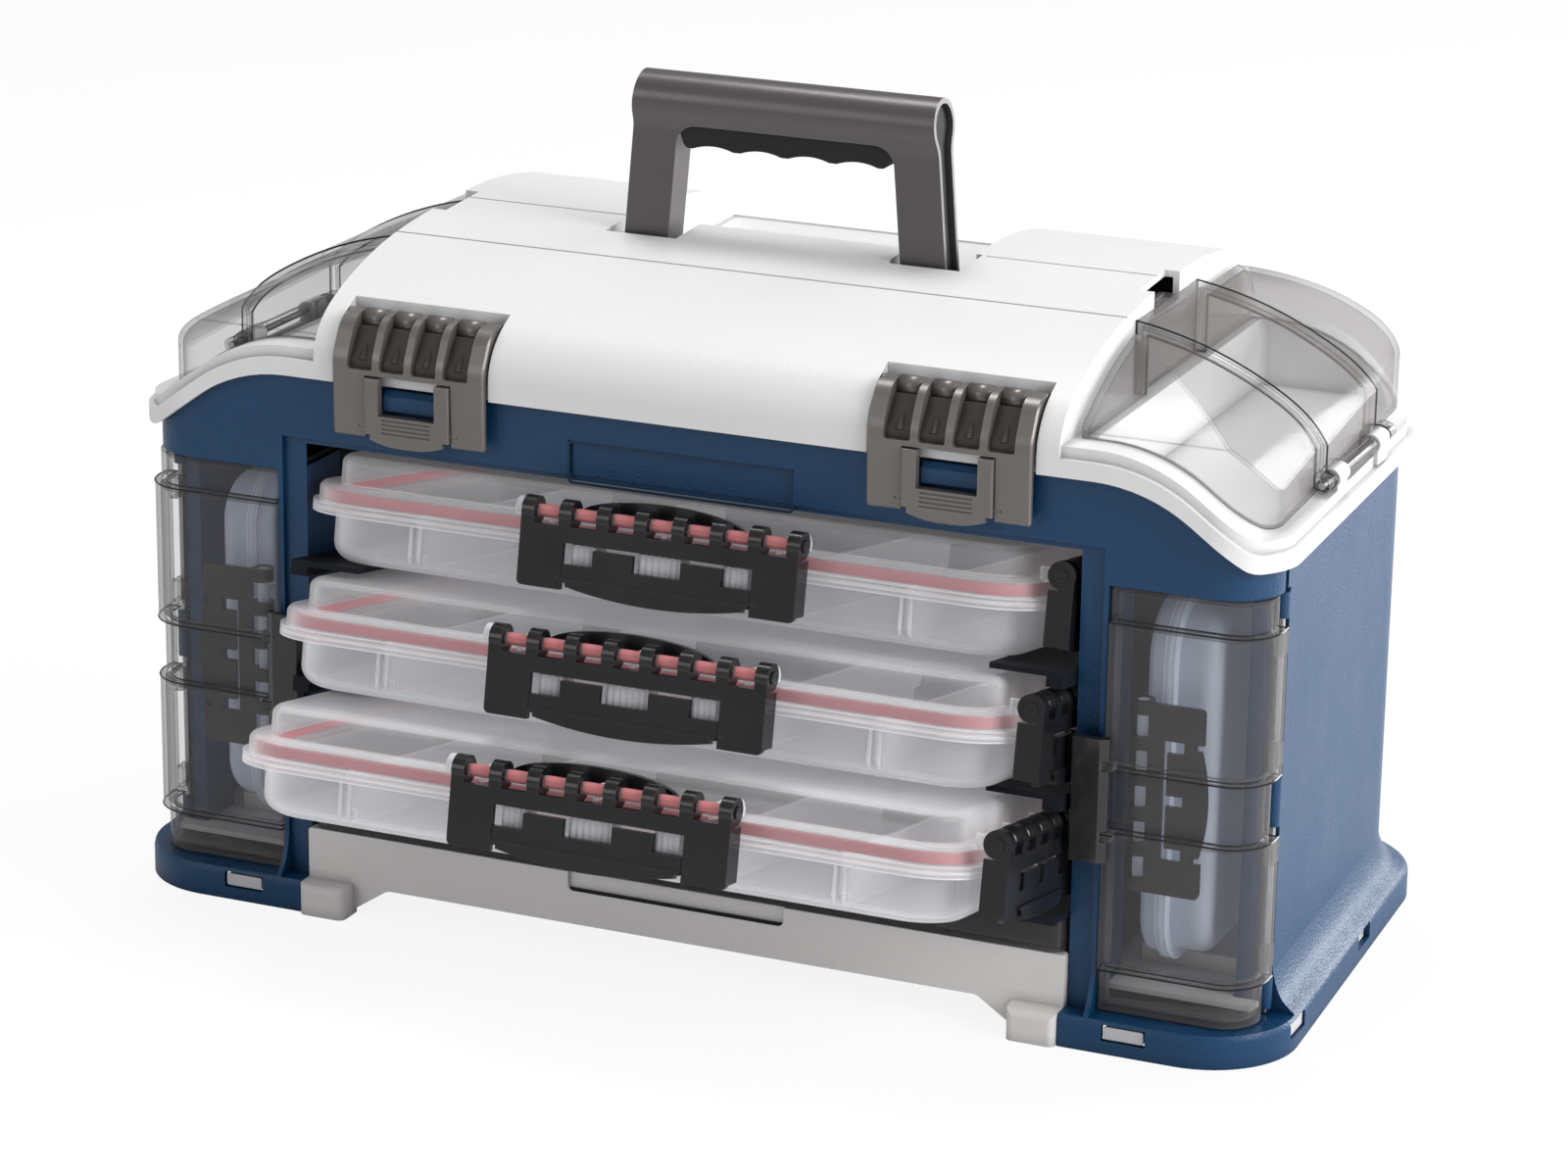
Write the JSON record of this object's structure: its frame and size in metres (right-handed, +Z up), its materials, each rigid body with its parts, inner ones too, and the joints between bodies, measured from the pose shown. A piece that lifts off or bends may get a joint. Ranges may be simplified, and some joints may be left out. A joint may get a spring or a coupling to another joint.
{
  "type": "fishing tackle cabinet",
  "caption": "Carrying cabinet with a hinged lid, folding handle, tinted end covers and side doors, a front rack of sliding clear utility boxes, and a shallow drawer under them",
  "frame": {"origin": "on the floor under the middle of the whole outline, 46 mm in front of the middle of the plinth", "axes": "+Z up, the open rack faces -Y, +X to the right as seen from the front"},
  "size_m": [0.5626, 0.368, 0.383],
  "materials": {
    "case_plastic": "fine pebble grain",
    "base_plastic": "fine pebble grain",
    "liner_plastic": "smooth matte",
    "lid_plastic": "fine pebble grain",
    "latch_plastic": "satin",
    "grip_rubber": "matte",
    "pin_steel": "plain drawn pin",
    "smoked_clear": "smoked clear",
    "clear_plastic": "clear, slightly frosted",
    "box_seal": "soft seal",
    "clasp_plastic": "polished black"
  },
  "bodies": {
    "case": {"body_shell": "case_plastic", "base_frame": "base_plastic", "rack_guide_right": "liner_plastic", "rack_guide_left": "liner_plastic", "bay_shelf": "liner_plastic", "top_bin": "liner_plastic", "door_hinge_pins": "pin_steel", "side_box_right_tray": "clear_plastic", "side_box_right_lid": "clear_plastic", "side_box_right_clasp": "clasp_plastic", "side_box_left_tray": "clear_plastic", "side_box_left_lid": "clear_plastic", "side_box_left_clasp": "clasp_plastic"},
    "lid": {"lid_shell": "lid_plastic", "lid_hinge_pins": "pin_steel", "latch_pins": "pin_steel", "handle_pins": "pin_steel", "cover_hinge_pins": "pin_steel"},
    "handle": {"handle_frame": "latch_plastic", "handle_grip": "grip_rubber"},
    "drawer": {"bottom_drawer": "smoked_clear"},
    "cover_right": {"end_cover_right": "smoked_clear"},
    "latch_right": {"main_latch_right": "latch_plastic"},
    "latch_lever_right": {"latch_lever_right": "latch_plastic"},
    "door_right": {"side_door_right": "smoked_clear"},
    "door_catch_right": {"door_catch_right": "smoked_clear"},
    "cover_left": {"end_cover_left": "smoked_clear"},
    "latch_left": {"main_latch_left": "latch_plastic"},
    "latch_lever_left": {"latch_lever_left": "latch_plastic"},
    "door_left": {"side_door_left": "smoked_clear"},
    "door_catch_left": {"door_catch_left": "smoked_clear"},
    "box1": {"box1_tray": "clear_plastic", "box1_lid": "clear_plastic", "box1_gasket": "box_seal", "box1_dividers": "clear_plastic", "box1_side_clasps": "clasp_plastic"},
    "box1_clasp": {"box1_front_clasp": "clasp_plastic"},
    "box1_lever": {"box1_clasp_lever": "clasp_plastic"},
    "box2": {"box2_tray": "clear_plastic", "box2_lid": "clear_plastic", "box2_gasket": "box_seal", "box2_dividers": "clear_plastic", "box2_side_clasps": "clasp_plastic"},
    "box2_clasp": {"box2_front_clasp": "clasp_plastic"},
    "box2_lever": {"box2_clasp_lever": "clasp_plastic"},
    "box3": {"box3_tray": "clear_plastic", "box3_lid": "clear_plastic", "box3_gasket": "box_seal", "box3_dividers": "clear_plastic", "box3_side_clasps": "clasp_plastic"},
    "box3_clasp": {"box3_front_clasp": "clasp_plastic"},
    "box3_lever": {"box3_clasp_lever": "clasp_plastic"}
  },
  "joints": [
    {"name": "lid_hinge", "type": "hinge", "parent": "case", "child": "lid", "pos_m": [0, 0.176, 0.258], "axis": [-1, 0, 0], "range_deg": [0, 95]},
    {"name": "handle_fold", "type": "hinge", "parent": "lid", "child": "handle", "pos_m": [0, 0.0375, 0.299], "axis": [-1, 0, 0], "range_deg": [0, 90]},
    {"name": "drawer_slide", "type": "slide", "parent": "case", "child": "drawer", "axis": [0, -1, 0], "range_m": [0, 0.085]},
    {"name": "cover_right_hinge", "type": "hinge", "parent": "lid", "child": "cover_right", "pos_m": [0.2668, 0.046, 0.2402], "axis": [0, 1, 0], "range_deg": [0, 105]},
    {"name": "latch_right_hinge", "type": "hinge", "parent": "lid", "child": "latch_right", "pos_m": [0.1285, -0.0715, 0.2816], "axis": [-1, 0, 0], "range_deg": [0, 100]},
    {"name": "latch_lever_right_pivot", "type": "hinge", "parent": "latch_right", "child": "latch_lever_right", "pos_m": [0.1285, -0.0891, 0.2375], "axis": [1, 0, 0], "range_deg": [0, 40]},
    {"name": "door_right_hinge", "type": "hinge", "parent": "case", "child": "door_right", "pos_m": [0.2668, -0.053, 0.11], "axis": [0, 0, 1], "range_deg": [0, 100]},
    {"name": "door_catch_right_pivot", "type": "hinge", "parent": "door_right", "child": "door_catch_right", "pos_m": [0.202, -0.0862, 0.114], "axis": [0, 0, 1], "range_deg": [0, 70]},
    {"name": "cover_left_hinge", "type": "hinge", "parent": "lid", "child": "cover_left", "pos_m": [-0.2668, 0.046, 0.2402], "axis": [0, -1, 0], "range_deg": [0, 105]},
    {"name": "latch_left_hinge", "type": "hinge", "parent": "lid", "child": "latch_left", "pos_m": [-0.1285, -0.0715, 0.2816], "axis": [-1, 0, 0], "range_deg": [0, 100]},
    {"name": "latch_lever_left_pivot", "type": "hinge", "parent": "latch_left", "child": "latch_lever_left", "pos_m": [-0.1285, -0.0891, 0.2375], "axis": [1, 0, 0], "range_deg": [0, 40]},
    {"name": "door_left_hinge", "type": "hinge", "parent": "case", "child": "door_left", "pos_m": [-0.2668, -0.053, 0.11], "axis": [0, 0, -1], "range_deg": [0, 100]},
    {"name": "door_catch_left_pivot", "type": "hinge", "parent": "door_left", "child": "door_catch_left", "pos_m": [-0.202, -0.0862, 0.114], "axis": [0, 0, -1], "range_deg": [0, 70]},
    {"name": "box1_slide", "type": "slide", "parent": "case", "child": "box1", "axis": [0, -0.9833, 0.1822], "range_m": [0, 0.19]},
    {"name": "box1_clasp_hinge", "type": "hinge", "parent": "box1", "child": "box1_clasp", "pos_m": [0.002, -0.10173, 0.21362], "axis": [-1, 0, 0], "range_deg": [0, 95]},
    {"name": "box1_lever_pivot", "type": "hinge", "parent": "box1_clasp", "child": "box1_lever", "pos_m": [0.002, -0.11107, 0.18739], "axis": [1, 0, 0], "range_deg": [0, 45]},
    {"name": "box2_slide", "type": "slide", "parent": "case", "child": "box2", "axis": [0, -0.9833, 0.1822], "range_m": [-0.033, 0.157]},
    {"name": "box2_clasp_hinge", "type": "hinge", "parent": "box2", "child": "box2_clasp", "pos_m": [0.002, -0.13418, 0.16414], "axis": [-1, 0, 0], "range_deg": [0, 95]},
    {"name": "box2_lever_pivot", "type": "hinge", "parent": "box2_clasp", "child": "box2_lever", "pos_m": [0.002, -0.14352, 0.1379], "axis": [1, 0, 0], "range_deg": [0, 45]},
    {"name": "box3_slide", "type": "slide", "parent": "case", "child": "box3", "axis": [0, -0.9833, 0.1822], "range_m": [-0.07, 0.12]},
    {"name": "box3_clasp_hinge", "type": "hinge", "parent": "box3", "child": "box3_clasp", "pos_m": [0.002, -0.17056, 0.11538], "axis": [-1, 0, 0], "range_deg": [0, 95]},
    {"name": "box3_lever_pivot", "type": "hinge", "parent": "box3_clasp", "child": "box3_lever", "pos_m": [0.002, -0.1799, 0.08914], "axis": [1, 0, 0], "range_deg": [0, 45]}
  ]
}
